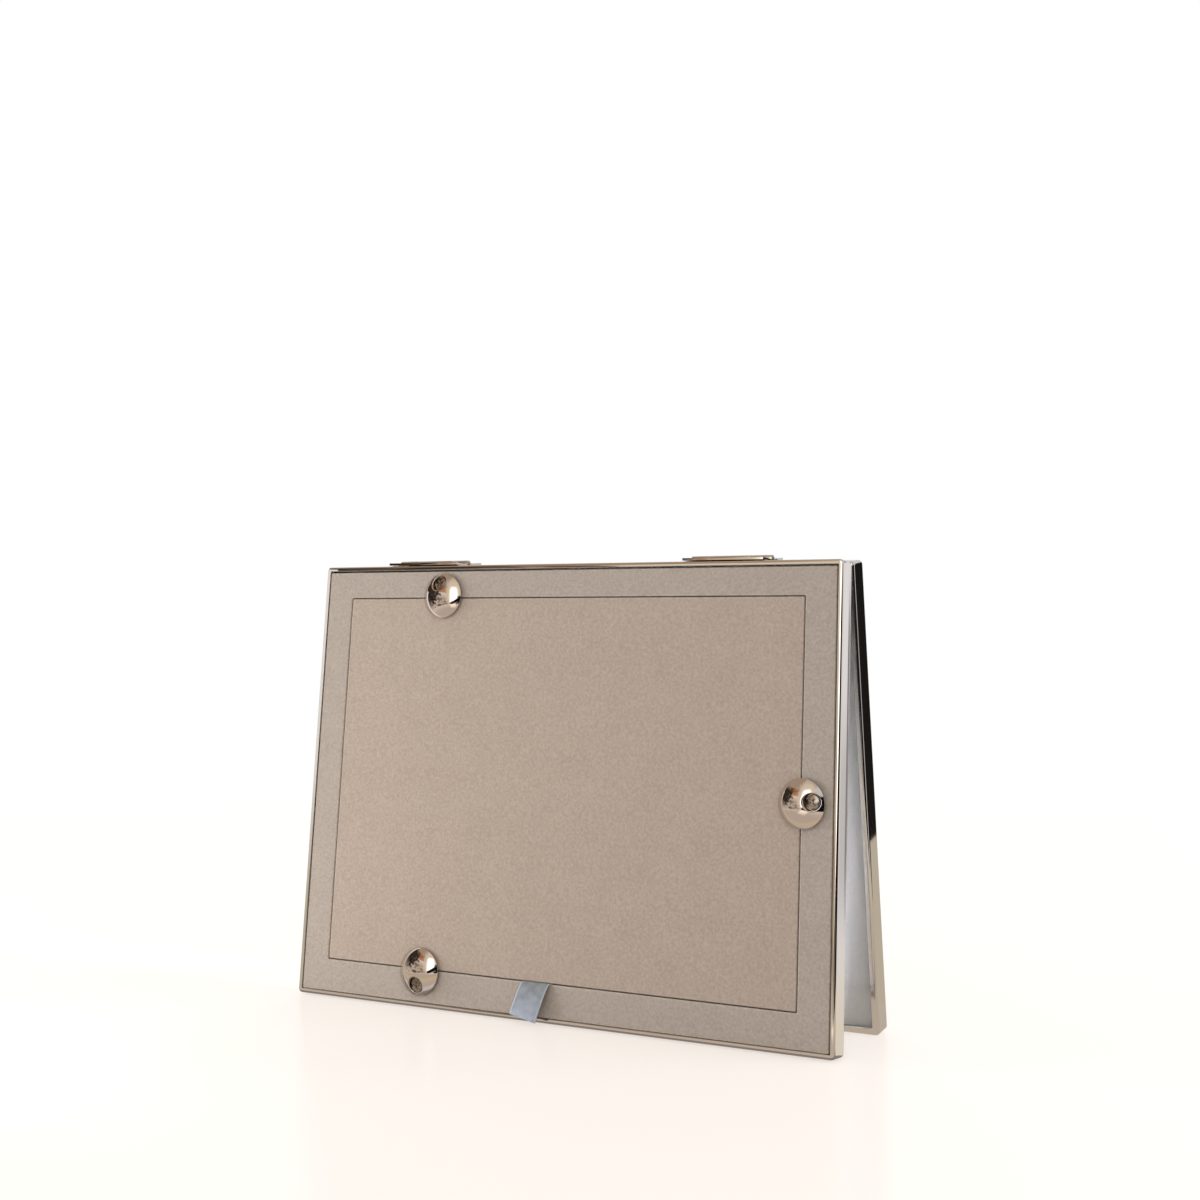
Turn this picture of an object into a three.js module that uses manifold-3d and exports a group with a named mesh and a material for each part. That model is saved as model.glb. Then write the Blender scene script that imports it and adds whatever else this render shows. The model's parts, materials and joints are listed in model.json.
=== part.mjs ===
// Double photo frame: two equal leaves on a pair of butt hinges, standing as a tent with their photo
// faces inwards. Each leaf is a metal frame that holds glass, a mat, a card and a covered back with a
// lift-out door. The back leaf is the front leaf turned half round about the vertical.
// Millimetres; X runs along the hinges, Y from front to back, Z up from the ground under the middle.
import * as THREE from "three";
import { mergeVertices } from "three/addons/utils/BufferGeometryUtils.js";
import Module from "manifold-3d";

// Photo and covered back
const photoLength = 178;
const photoHeight = 127;
const photoThickness = 0.4;
const doorMarginX = 2; // door past the photo's ends
const doorMarginZ = 1.3; // door past the photo's long sides
const borderX = 13.2; // leaf's end to the door's edge
const borderZ = 12.7; // leaf's long side to the door's edge
const doorShiftX = -0.3; // opening off the leaf's middle
const doorShiftZ = 0.5;
const doorGap = 0.45; // round the door
const boardCornerRadius = 0.8;
const boardEdgeRound = 0.5; // where the covering wraps the boards' edges
const borderGap = 0.6; // dark gap between the border board and the metal
const backRecess = 0.3; // boards' back below the metal rim's

// Metal frame
const leafDepth = 8.3;
const frameWall = 1.6;
const frameCornerRadius = 1.5;
const backEdgeRound = 0.9;
const frontEdgeRound = 1.1;
const lipThickness = 1;
const lipReach = 0.7; // past the wall, over the glass

// Stack behind the lip
const seatGap = 0.3; // between pieces that rest on each other
const sideGap = 0.2; // round the glass and the mat
const glassThickness = 2;
const matThickness = 1.2;
const matOverlap = 3; // over the photo's edge
const matBevel = 0.6;

// Turn buttons and their screws
const buttonRadius = 8;
const buttonEdge = 0.6;
const domeRise = 3.5;
const buttonOutset = 1; // button's centre past the door's edge
const screwOffset = 4.3; // screw past the button's centre
const screwInsetX = 53.5; // leaf's end to the top and bottom screws
const recessRadius = 2.75;
const recessFloor = 0.9; // above the button's underside
const footRadius = 3;
const screwHeadRadius = 2.4;
const screwHeadEdge = 0.5;
const screwHeadRise = 0.5;
const shankRadius = 1;
const shankTaper = 0.5;
const threadLength = 2.2; // in the border board
const crossLength = 2.6;
const crossWidth = 0.6;
const crossDepth = 0.6;

// Hinges
const hingeInset = 28.5; // leaf's end to the hinge
const hingeLength = 29.8;
const middleKnuckle = 14.8;
const knuckleGap = 0.3;
const knuckleRadius = 1.2;
const pinRadius = 0.6;
const pinClearance = 0.1;
const pinProud = 0.4; // past the knuckles at each end
const plateThickness = 0.8;
const plateEdgeInset = 0.4; // back of the leaf to the plate's edge
const leafGap = 0.8; // between the leaves when closed
const restOpening = 11; // degrees between the leaves as they stand

// Ribbon tab
const ribbonWidth = 10.6;
const ribbonThickness = 0.25;
const ribbonInsetX = 100.8; // leaf's end to the ribbon's middle
const ribbonTuck = 2; // into the gap below the door
const ribbonBendRadius = 1.6;
const ribbonBend = 68; // degrees, at the mouth of the gap
const ribbonFall = 11.1; // length past the bend
const ribbonCurl = 14; // degrees, over that length
const ribbonDrift = 2.3; // sideways at its end

// Steps and sides of the curved forms
const roundSteps = 3;
const ribbonSteps = 4;
const domeSteps = 6;
const domeSides = 32;
const smallSides = 20;

// Worked out from the sizes above
const doorLength = photoLength + 2 * doorMarginX;
const doorHeight = photoHeight + 2 * doorMarginZ;
const leafLength = doorLength + 2 * borderX;
const leafHeight = doorHeight + 2 * borderZ;
const glassDepth = lipThickness + seatGap;
const matDepth = glassDepth + glassThickness + seatGap;
const borderDepth = matDepth + matThickness + seatGap;
const doorDepth = borderDepth + photoThickness + seatGap;
const boardBack = leafDepth - backRecess;
const hingeRise = knuckleRadius + seatGap; // hinge axis above the leaves' top sides
const tilt = THREE.MathUtils.degToRad(restOpening / 2);

const wasm = await Module();
wasm.setup();

// A closed geometry as a solid that can be joined and cut.
function solidOf(geometry) {
  const bare = geometry.index ? geometry.toNonIndexed() : geometry.clone();
  bare.deleteAttribute("normal");
  bare.deleteAttribute("uv");
  const merged = mergeVertices(bare, 1e-4);
  return new wasm.Manifold(
    new wasm.Mesh({
      numProp: 3,
      vertProperties: merged.attributes.position.array,
      triVerts: new Uint32Array(merged.index.array),
    }),
  );
}

function geometryOf(solid) {
  const mesh = solid.getMesh();
  const geometry = new THREE.BufferGeometry();
  geometry.setAttribute("position", new THREE.BufferAttribute(mesh.vertProperties, 3));
  geometry.setIndex(new THREE.BufferAttribute(mesh.triVerts, 1));
  geometry.computeVertexNormals();
  return geometry;
}

// Points of an arc about a centre, ends included, as [across, along] pairs.
function arc(centreX, centreY, radius, fromDegrees, toDegrees, steps) {
  return Array.from({ length: steps + 1 }, (_, i) => {
    const angle = THREE.MathUtils.degToRad(fromDegrees + ((toDegrees - fromDegrees) * i) / steps);
    return [centreX + radius * Math.cos(angle), centreY + radius * Math.sin(angle)];
  });
}

// A rounded rectangle about the origin, counter-clockwise.
function roundedOutline(length, height, radius) {
  const x = length / 2 - radius;
  const y = height / 2 - radius;
  const corners = [[x, y], [-x, y], [-x, -y], [x, -y]];
  return corners.flatMap(([cx, cy], i) => arc(cx, cy, radius, 90 * i, 90 * i + 90, roundSteps));
}

// A ring with one section carried round a rounded rectangle that stands in the XZ plane.
// The section is a closed loop of [inset from the outline, depth behind the photo face].
function ringGeometry(length, height, cornerRadius, section) {
  const leastRadius = 0.4;
  const loops = section.map(([inset, depth]) => {
    const radius = Math.max(cornerRadius - inset, leastRadius);
    return roundedOutline(length - 2 * inset, height - 2 * inset, radius).map(([x, z]) => [x, -depth, z]);
  });
  const around = loops[0].length;
  const index = loops.flatMap((_, i) =>
    loops[0].flatMap((_, j) => {
      const next = (j + 1) % around;
      const a = i * around;
      const b = ((i + 1) % loops.length) * around;
      return [a + j, b + next, b + j, a + j, a + next, b + next];
    }),
  );
  const geometry = new THREE.BufferGeometry();
  geometry.setAttribute("position", new THREE.Float32BufferAttribute(loops.flat(2), 3));
  geometry.setIndex(index);
  geometry.computeVertexNormals();
  return geometry;
}

// A flat board in the XZ plane, its front at the given depth, with rounded edges if edge is set.
function boardGeometry(length, height, depth, thickness, edge) {
  const outline = roundedOutline(length, height, boardCornerRadius);
  const shape = new THREE.Shape(outline.map(([x, y]) => new THREE.Vector2(x, y)));
  const geometry = new THREE.ExtrudeGeometry(shape, {
    depth: thickness - 2 * edge,
    bevelEnabled: edge > 0,
    bevelThickness: edge,
    bevelSize: edge,
    bevelOffset: -edge,
    bevelSegments: roundSteps,
  });
  return geometry.translate(0, 0, depth + edge).rotateX(Math.PI / 2);
}

// L-shaped channel: a wall with rounded outer edges and a thin lip over the glass.
function frameGeometry() {
  const lipEdge = frameWall + lipReach;
  const section = [
    ...arc(frontEdgeRound, frontEdgeRound, frontEdgeRound, 270, 180, roundSteps),
    ...arc(backEdgeRound, leafDepth - backEdgeRound, backEdgeRound, 180, 90, roundSteps),
    [frameWall, leafDepth],
    [frameWall, lipThickness],
    [lipEdge, lipThickness],
    [lipEdge, 0],
  ];
  return ringGeometry(leafLength, leafHeight, frameCornerRadius, section);
}

// A closed plug whose rounded outline is inset or, below zero, flared with depth: the section runs
// from the front to the back as [inset, depth].
function plugGeometry(length, height, section) {
  const around = 4 * (roundSteps + 1);
  const points = section.flatMap(([inset, depth]) =>
    roundedOutline(length - 2 * inset, height - 2 * inset, boardCornerRadius)
      .flatMap(([x, z]) => [x, -depth, z]),
  );
  const last = (section.length - 1) * around;
  const index = [];
  for (let j = 0; j < around; j++) {
    const next = (j + 1) % around;
    for (let a = 0; a < last; a += around) {
      const b = a + around;
      index.push(a + j, b + next, b + j, a + j, a + next, b + next);
    }
    // Both ends are closed by a fan about their first point.
    if (j > 0 && next > 0) {
      index.push(0, next, j, last, last + j, last + next);
    }
  }
  const geometry = new THREE.BufferGeometry();
  geometry.setAttribute("position", new THREE.Float32BufferAttribute(points, 3));
  geometry.setIndex(index);
  return geometry;
}

// The mat's window is cut at a slant, wider at the face.
function matGeometry() {
  const outer = frameWall + sideGap;
  const spare = 1;
  const slope = matBevel / matThickness;
  const sheet = boardGeometry(
    leafLength - 2 * outer, leafHeight - 2 * outer, matDepth, matThickness, 0,
  );
  const cutter = plugGeometry(photoLength - 2 * matOverlap, photoHeight - 2 * matOverlap, [
    [-slope * (matThickness + spare), matDepth - spare],
    [slope * spare, matDepth + matThickness + spare],
  ]);
  return geometryOf(solidOf(sheet).subtract(solidOf(cutter.translate(doorShiftX, 0, doorShiftZ))));
}

// Where the screws stand on the leaf, and which way the door-side half of each button hangs from its
// screw, in degrees from +X towards +Z: the buttons aren't turned quite square.
const screwOutset = buttonOutset + screwOffset;
const doorMiddleZ = leafHeight / 2 + doorShiftZ;
const stations = [
  {
    name: "top", x: screwInsetX - leafLength / 2,
    z: doorMiddleZ + doorHeight / 2 + screwOutset, toDoor: -85,
  },
  { name: "side", x: doorShiftX + doorLength / 2 + screwOutset, z: leafHeight / 2, toDoor: 189 },
  {
    name: "bottom", x: screwInsetX - leafLength / 2,
    z: doorMiddleZ - doorHeight / 2 - screwOutset, toDoor: 95,
  },
];

// The covered border: a board with rounded back edges, cut for the door and for the screws.
function borderGeometry() {
  const outer = frameWall + borderGap;
  const edge = boardEdgeRound;
  const slab = boardGeometry(
    leafLength - 2 * outer, leafHeight - 2 * outer, borderDepth, boardBack - borderDepth, edge,
  );
  // The cutter flares at the back face, so that the opening's edge is rounded too.
  const spare = 1;
  const section = [
    [0, borderDepth - spare],
    [0, boardBack - edge],
    ...arc(-edge, boardBack - edge, edge, 0, 90, roundSteps).slice(1),
    [-edge, boardBack + spare],
  ];
  const cutter = plugGeometry(doorLength + 2 * doorGap, doorHeight + 2 * doorGap, section);
  let board = solidOf(slab).subtract(solidOf(cutter.translate(doorShiftX, 0, doorShiftZ)));
  for (const { x, z } of stations) {
    const hole = new THREE.CylinderGeometry(
      shankRadius + seatGap, shankRadius + seatGap, 2 * leafDepth, smallSides,
    );
    board = board.subtract(solidOf(hole.translate(x, -boardBack, z - leafHeight / 2)));
  }
  return geometryOf(board);
}

// Low dome that turns about a screw off its centre. Local +Y points out of the leaf, the axis is
// the screw's, and the dome's centre lies along +X.
function buttonGeometry() {
  const sphere = (buttonRadius ** 2 + domeRise ** 2) / (2 * domeRise);
  const centre = buttonEdge + domeRise - sphere;
  const start = THREE.MathUtils.radToDeg(Math.asin((buttonEdge - centre) / sphere));
  const profile = [[0, 0], [buttonRadius, 0], ...arc(0, centre, sphere, start, 90, domeSteps)];
  profile[profile.length - 1][0] = 0;
  const dome = new THREE.LatheGeometry(profile.map(([r, y]) => new THREE.Vector2(r, y)), domeSides);
  const foot = new THREE.CylinderGeometry(footRadius, footRadius, 2 * backRecess, smallSides);
  const recess = new THREE.CylinderGeometry(recessRadius, recessRadius, domeRise, domeSides);
  const bore = new THREE.CylinderGeometry(
    shankRadius + seatGap, shankRadius + seatGap, 4 * domeRise, smallSides,
  );
  const body = solidOf(dome.translate(screwOffset, 0, 0))
    .add(solidOf(foot))
    .subtract(solidOf(recess.translate(0, recessFloor + domeRise / 2, 0)))
    .subtract(solidOf(bore));
  return geometryOf(body);
}

// Raised-head screw with a cross, its head's underside at the origin and +Y out of the leaf.
function screwGeometry() {
  const sphere = (screwHeadRadius ** 2 + screwHeadRise ** 2) / (2 * screwHeadRise);
  const centre = screwHeadEdge + screwHeadRise - sphere;
  const start = THREE.MathUtils.radToDeg(Math.asin((screwHeadEdge - centre) / sphere));
  const reach = seatGap + recessFloor + seatGap + backRecess + threadLength;
  const profile = [
    [0, -reach],
    [shankRadius - shankTaper, -reach],
    [shankRadius, shankTaper - reach],
    [shankRadius, 0],
    [screwHeadRadius, 0],
    ...arc(0, centre, sphere, start, 90, roundSteps),
  ];
  profile[profile.length - 1][0] = 0;
  const top = screwHeadEdge + screwHeadRise;
  let screw = solidOf(
    new THREE.LatheGeometry(profile.map(([r, y]) => new THREE.Vector2(r, y)), smallSides),
  );
  for (const turn of [0, Math.PI / 2]) {
    const slot = new THREE.BoxGeometry(crossLength, 2 * crossDepth, crossWidth);
    screw = screw.subtract(solidOf(slot.rotateY(turn).translate(0, top, 0)));
  }
  return geometryOf(screw);
}

// Strip that leaves the gap below the door, bends over its edge and falls away from the board.
// The side view is worked out as a band along a path whose slope grows from level.
function ribbonGeometry() {
  const path = [{ out: -ribbonTuck, down: 0, slope: 0 }, { out: 0, down: 0, slope: 0 }];
  const bendLength = ribbonBendRadius * THREE.MathUtils.degToRad(ribbonBend);
  const stretches = [
    { length: bendLength, turn: ribbonBend },
    { length: ribbonFall, turn: ribbonCurl },
  ];
  for (const { length, turn } of stretches) {
    for (let i = 0; i < ribbonSteps; i++) {
      const last = path[path.length - 1];
      const slope = last.slope + THREE.MathUtils.degToRad(turn) / ribbonSteps;
      const middle = (last.slope + slope) / 2;
      const step = length / ribbonSteps;
      path.push({
        out: last.out + step * Math.cos(middle), down: last.down + step * Math.sin(middle), slope,
      });
    }
  }
  const side = (half) =>
    path.map(({ out, down, slope }) =>
      new THREE.Vector2(out + half * Math.sin(slope), -down + half * Math.cos(slope)));
  const band = new THREE.Shape([...side(ribbonThickness / 2), ...side(-ribbonThickness / 2).reverse()]);
  const strip = new THREE.ExtrudeGeometry(band, { depth: ribbonWidth, bevelEnabled: false });
  // The band's X becomes the way out of the leaf, and its Y stays up.
  strip.translate(0, 0, -ribbonWidth / 2).rotateY(-Math.PI / 2).rotateX(Math.PI / 2);
  const points = strip.attributes.position;
  const fall = path[path.length - 1].down;
  for (let i = 0; i < points.count; i++) {
    points.setX(i, points.getX(i) - (ribbonDrift * Math.max(0, -points.getZ(i))) / fall);
  }
  return strip;
}

// One hinge plate with its knuckles, about the hinge axis along X: the plate reaches to -Y.
// The knuckles are given as [from, to] along X, and the others are the facing plate's.
function plateGeometry(knuckles, others) {
  const along = (radius, length) =>
    new THREE.CylinderGeometry(radius, radius, length, smallSides).rotateZ(Math.PI / 2);
  const reach = leafGap / 2 + leafDepth - plateEdgeInset;
  const flat = new THREE.BoxGeometry(hingeLength, reach, plateThickness);
  let plate = solidOf(flat.translate(0, -reach / 2, plateThickness / 2 - knuckleRadius));
  for (const [from, to] of others) {
    const clear = knuckleRadius + seatGap;
    const notch = new THREE.BoxGeometry(to - from + 2 * knuckleGap, 2 * clear, 2 * clear);
    plate = plate.subtract(solidOf(notch.translate((from + to) / 2, 0, 0)));
  }
  for (const [from, to] of knuckles) {
    plate = plate.add(solidOf(along(knuckleRadius, to - from).translate((from + to) / 2, 0, 0)));
  }
  return geometryOf(plate.subtract(solidOf(along(pinRadius + pinClearance, 2 * hingeLength))));
}

const finishes = {
  metal: { color: "#c9c2ba", roughness: 0.12, metalness: 1 },
  button: { color: "#c4b6aa", roughness: 0.08, metalness: 1 },
  screw: { color: "#b9b2aa", roughness: 0.3, metalness: 1 },
  glass: { color: "#e6ebe9", roughness: 0.03, metalness: 0, transparent: true, opacity: 0.3 },
  mat: { color: "#c9c6c0", roughness: 0.9, metalness: 0 },
  card: { color: "#e9e7e2", roughness: 0.8, metalness: 0 },
  board: { color: "#ac9f94", roughness: 0.95, metalness: 0 },
  door: { color: "#b2a193", roughness: 0.95, metalness: 0 },
  ribbon: { color: "#a2a5a8", roughness: 0.45, metalness: 0 },
};

function piece(name, geometry, finish) {
  const mesh = new THREE.Mesh(geometry, new THREE.MeshStandardMaterial(finishes[finish]));
  mesh.name = name;
  return mesh;
}

// Everything of one leaf but the hinges: X along the hinge side, -Y out of the back, Z up from the
// free edge.
function leafGroup(leaf) {
  const group = new THREE.Group();
  const stack = new THREE.Group();
  stack.position.z = leafHeight / 2;
  const inner = frameWall + sideGap;
  stack.add(
    piece(`${leaf}_frame`, frameGeometry(), "metal"),
    piece(
      `${leaf}_glass`,
      boardGeometry(leafLength - 2 * inner, leafHeight - 2 * inner, glassDepth, glassThickness, 0),
      "glass",
    ),
    piece(`${leaf}_mat`, matGeometry(), "mat"),
    piece(
      `${leaf}_photo_card`,
      boardGeometry(photoLength, photoHeight, borderDepth, photoThickness, 0)
        .translate(doorShiftX, 0, doorShiftZ),
      "card",
    ),
    piece(`${leaf}_border_board`, borderGeometry(), "board"),
    piece(
      `${leaf}_door_panel`,
      boardGeometry(doorLength, doorHeight, doorDepth, boardBack - doorDepth, boardEdgeRound)
        .translate(doorShiftX, 0, doorShiftZ),
      "door",
    ),
  );
  group.add(stack);

  for (const { name, x, z, toDoor } of stations) {
    const seat = new THREE.Group();
    seat.position.set(x, -leafDepth, z);
    seat.rotation.x = Math.PI;
    const button = piece(`${leaf}_${name}_button`, buttonGeometry(), "button");
    button.position.y = seatGap;
    button.rotation.y = THREE.MathUtils.degToRad(toDoor);
    const screw = piece(`${leaf}_${name}_screw`, screwGeometry(), "screw");
    screw.position.y = seatGap + recessFloor + seatGap;
    seat.add(button, screw);
    group.add(seat);
  }

  const ribbon = piece(`${leaf}_ribbon_tab`, ribbonGeometry(), "ribbon");
  ribbon.position.set(ribbonInsetX - leafLength / 2, -boardBack, doorMiddleZ - (doorHeight + doorGap) / 2);
  group.add(ribbon);

  group.position.set(0, -leafGap / 2, -leafHeight - hingeRise);
  return group;
}

// The hinge axis stands where the leaves' rounded inner edges just touch the ground.
const footDown = leafHeight + hingeRise - frontEdgeRound;
const footOut = leafGap / 2 + frontEdgeRound;
const axisHeight = footDown * Math.cos(tilt) - footOut * Math.sin(tilt) + frontEdgeRound;

const half = hingeLength / 2;
const middle = [[-middleKnuckle / 2, middleKnuckle / 2]];
const outer = [
  [-half, -middleKnuckle / 2 - knuckleGap],
  [middleKnuckle / 2 + knuckleGap, half],
];

const frame = new THREE.Group();
for (const [leaf, turn] of [["front", 0], ["back", Math.PI]]) {
  const turned = new THREE.Group();
  turned.position.z = axisHeight;
  turned.rotation.z = turn;
  const tilted = new THREE.Group();
  tilted.rotation.x = -tilt;
  tilted.add(leafGroup(leaf));
  for (const side of ["left", "right"]) {
    const away = (side === "left" ? -1 : 1) * (leafLength / 2 - hingeInset - half);
    const plate = piece(
      `${side}_hinge_${leaf}_plate`,
      leaf === "front" ? plateGeometry(outer, middle) : plateGeometry(middle, outer),
      "metal",
    );
    plate.position.x = leaf === "front" ? away : -away;
    tilted.add(plate);
    if (leaf === "front") {
      const rod = new THREE.CylinderGeometry(
        pinRadius, pinRadius, hingeLength + 2 * pinProud, smallSides,
      );
      const pin = piece(`${side}_hinge_pin`, rod.rotateZ(Math.PI / 2), "screw");
      pin.position.x = away;
      tilted.add(pin);
    }
  }
  turned.add(tilted);
  frame.add(turned);
}

export default frame;
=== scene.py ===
# Double photo frame: two hinged leaves in polished nickel, standing as a tent with their covered
# backs outwards. Every piece is worked out in its own leaf's axes, in millimetres (X along the hinge
# side, Y up the leaf, Z out of the covered back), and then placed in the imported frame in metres.
import json
import math

import bmesh
import bpy
import numpy as np
from mathutils import Matrix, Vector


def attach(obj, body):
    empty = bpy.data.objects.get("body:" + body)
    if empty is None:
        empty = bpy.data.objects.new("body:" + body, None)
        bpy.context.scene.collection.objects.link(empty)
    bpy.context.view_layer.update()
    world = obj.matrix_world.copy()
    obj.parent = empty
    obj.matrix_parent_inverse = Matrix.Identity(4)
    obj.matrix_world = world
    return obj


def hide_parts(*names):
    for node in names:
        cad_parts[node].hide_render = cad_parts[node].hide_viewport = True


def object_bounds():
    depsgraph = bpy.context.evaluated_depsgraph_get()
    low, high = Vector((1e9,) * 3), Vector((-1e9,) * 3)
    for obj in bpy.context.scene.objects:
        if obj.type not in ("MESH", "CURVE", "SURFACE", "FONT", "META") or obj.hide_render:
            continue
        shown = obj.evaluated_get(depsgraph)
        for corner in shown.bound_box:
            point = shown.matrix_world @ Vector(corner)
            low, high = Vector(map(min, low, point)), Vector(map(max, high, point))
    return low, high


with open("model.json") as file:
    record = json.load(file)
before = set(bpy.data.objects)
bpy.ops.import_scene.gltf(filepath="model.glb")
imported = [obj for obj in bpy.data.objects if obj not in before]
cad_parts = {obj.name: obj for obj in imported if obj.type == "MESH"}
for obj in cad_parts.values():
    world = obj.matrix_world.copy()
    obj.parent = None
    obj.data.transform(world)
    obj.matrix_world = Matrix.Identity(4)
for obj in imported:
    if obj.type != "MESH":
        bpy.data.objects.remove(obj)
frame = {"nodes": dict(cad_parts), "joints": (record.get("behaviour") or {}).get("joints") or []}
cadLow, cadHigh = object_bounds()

mm = 0.001
joints = {joint["name"]: joint for joint in frame["joints"]}
leaves = ("front", "back")


# Leaf axes

fold = joints["fold"]
tilt = math.radians(-fold["range_deg"][0] / 2)  # each leaf leans by half of what is left to close
hingeAxis = np.array(fold["pos_m"])


def leafAxes(leaf):
    # Rows are the leaf's along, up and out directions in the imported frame.
    axes = np.array([
        [1, 0, 0],
        [0, math.sin(tilt), math.cos(tilt)],
        [0, -math.cos(tilt), math.sin(tilt)],
    ])
    halfTurn = np.diag([-1, -1, 1])
    return axes if leaf == "front" else axes @ halfTurn


def leafBox(leaf, node):
    # Lowest and highest corner of a CAD node in its leaf's axes about the hinge axis.
    mesh = frame["nodes"][node].data
    points = np.zeros(len(mesh.vertices) * 3)
    mesh.vertices.foreach_get("co", points)
    local = (points.reshape(-1, 3) - hingeAxis) @ leafAxes(leaf).T / mm
    return local.min(0), local.max(0)


metalLow, metalHigh = leafBox("front", "front_frame")
photoFace = np.array([0, (metalLow[1] + metalHigh[1]) / 2, metalLow[2]])  # its middle


def place(leaf, points):
    # From the leaf's axes, about the middle of its photo face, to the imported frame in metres.
    return (np.asarray(points) + photoFace) @ leafAxes(leaf) * mm + hingeAxis


def toLeaf(leaf, point):
    return (np.array(point) - hingeAxis) @ leafAxes(leaf).T / mm - photoFace


# Mesh makers

def smoothstep(low, high, value):
    share = np.clip((value - low) / (high - low), 0, 1)
    return share * share * (3 - 2 * share)


def circle(count):
    angle = np.linspace(0, 2 * math.pi, count, endpoint=False)
    return np.stack([np.cos(angle), np.sin(angle)], -1)


def atDepth(loop, depth):
    # Flat points with one depth for all or one each.
    return np.column_stack([loop, np.broadcast_to(depth, len(loop))])


def roundedLoop(sides, grow, radius, depth, shift=(0, 0), arcSteps=8, sideSteps=10, support=0.2):
    # A rounded rectangle at a depth, grown by so much on every side. It runs counter-clockwise: a
    # quarter arc at each corner, then evenly spread points along the side, with one more close to
    # each arc so that the flats shade flat.
    turn = np.linspace(0, math.pi / 2, arcSteps + 1)
    toCorner = (np.array(sides) + 2 * grow) / 2 - radius
    centres = np.array([[1, 1], [-1, 1], [-1, -1], [1, -1]]) * toCorner
    loop = []
    for corner in range(4):
        angle = turn + corner * math.pi / 2
        arc = centres[corner] + radius * np.stack([np.cos(angle), np.sin(angle)], -1)
        direction = np.array([-math.sin(angle[-1]), math.cos(angle[-1])])
        run = abs((centres[(corner + 1) % 4] - centres[corner]) @ direction)
        steps = np.concatenate([[support], np.linspace(0, run, sideSteps + 2)[1:-1], [run - support]])
        loop += [arc, arc[-1] + steps[:, None] * direction]
    return atDepth(np.concatenate(loop) + shift, depth)


def roundedSection(corners, arcSteps=6, support=0.08):
    # A closed polygon of [across, depth, radius] with rounded corners: each arc touches both of
    # its edges, and a supporting point stands on each edge just past the arc.
    points = []
    for i, (x, y, radius) in enumerate(corners):
        here = np.array([x, y], float)
        before = np.array(corners[i - 1][:2], float) - here
        after = np.array(corners[(i + 1) % len(corners)][:2], float) - here
        before, after = before / np.linalg.norm(before), after / np.linalg.norm(after)
        half = math.acos(np.clip(before @ after, -1, 1)) / 2
        centre = here + (before + after) / np.linalg.norm(before + after) * radius / math.sin(half)
        touch = radius / math.tan(half)
        first, last = here + before * touch - centre, here + after * touch - centre
        start = math.atan2(first[1], first[0])
        sweep = (math.atan2(last[1], last[0]) - start + math.pi) % (2 * math.pi) - math.pi
        angle = start + sweep * np.linspace(0, 1, arcSteps + 1)
        arc = centre + radius * np.stack([np.cos(angle), np.sin(angle)], -1)
        points += [[here + before * (touch + support)], arc, [here + after * (touch + support)]]
    return np.concatenate(points)


def gridFaces(rows, columns, joinRows, joinColumns):
    # Quads between neighbouring points of a grid, as rows of four vertex numbers.
    row, column = np.meshgrid(
        np.arange(rows if joinRows else rows - 1),
        np.arange(columns if joinColumns else columns - 1), indexing="ij",
    )
    nextRow, nextColumn = (row + 1) % rows, (column + 1) % columns
    return np.stack([
        row * columns + column, row * columns + nextColumn,
        nextRow * columns + nextColumn, nextRow * columns + column,
    ], -1).reshape(-1, 4)


def addObject(name, data, axes=None, position=None):
    # A new object, at the origin or posed by its three axes and its position.
    piece = bpy.data.objects.new(name, data)
    if axes is not None:
        pose = np.eye(4)
        pose[:3, :3], pose[:3, 3] = np.stack(axes, -1), position
        piece.matrix_world = Matrix(pose.tolist())
    bpy.context.scene.collection.objects.link(piece)
    return piece


def addMesh(name, points, faces, materials, slots=None, wrap=None):
    # A smooth-shaded object at the origin, from points in metres and a list of faces. Slots gives
    # each face its material, and wrap how far each point is turned over a covered edge.
    mesh = bpy.data.meshes.new(name)
    mesh.from_pydata(np.asarray(points).tolist(), [], [list(face) for face in faces])
    for material in materials:
        mesh.materials.append(material)
    mesh.polygons.foreach_set("use_smooth", np.ones(len(mesh.polygons), bool))
    if slots is not None:
        mesh.polygons.foreach_set("material_index", np.asarray(slots, np.int32))
    if wrap is not None:
        mesh.attributes.new("wrap", "FLOAT", "POINT").data.foreach_set("value", wrap.astype(np.float32))
    mesh.update()
    return addObject(name, mesh)


def skin(name, leaf, loops, materials, join=False, slots=None, wrap=None):
    # Loops of equally many points in leaf axes, skinned one to the next: joined end to end into a
    # ring, or closed with a flat face at the first and the last loop. Slots and wrap are per loop.
    loops = np.asarray(loops)
    rows, columns = loops.shape[:2]
    faces = gridFaces(rows, columns, join, True).tolist()
    if slots is not None:
        slots = np.repeat(slots, columns)
    if wrap is not None:
        wrap = np.repeat(wrap, columns)
    if not join:
        faces.append(list(range(columns))[::-1])
        faces.append(list(range((rows - 1) * columns, rows * columns)))
    return addMesh(name, place(leaf, loops.reshape(-1, 3)), faces, materials, slots, wrap)


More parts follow.
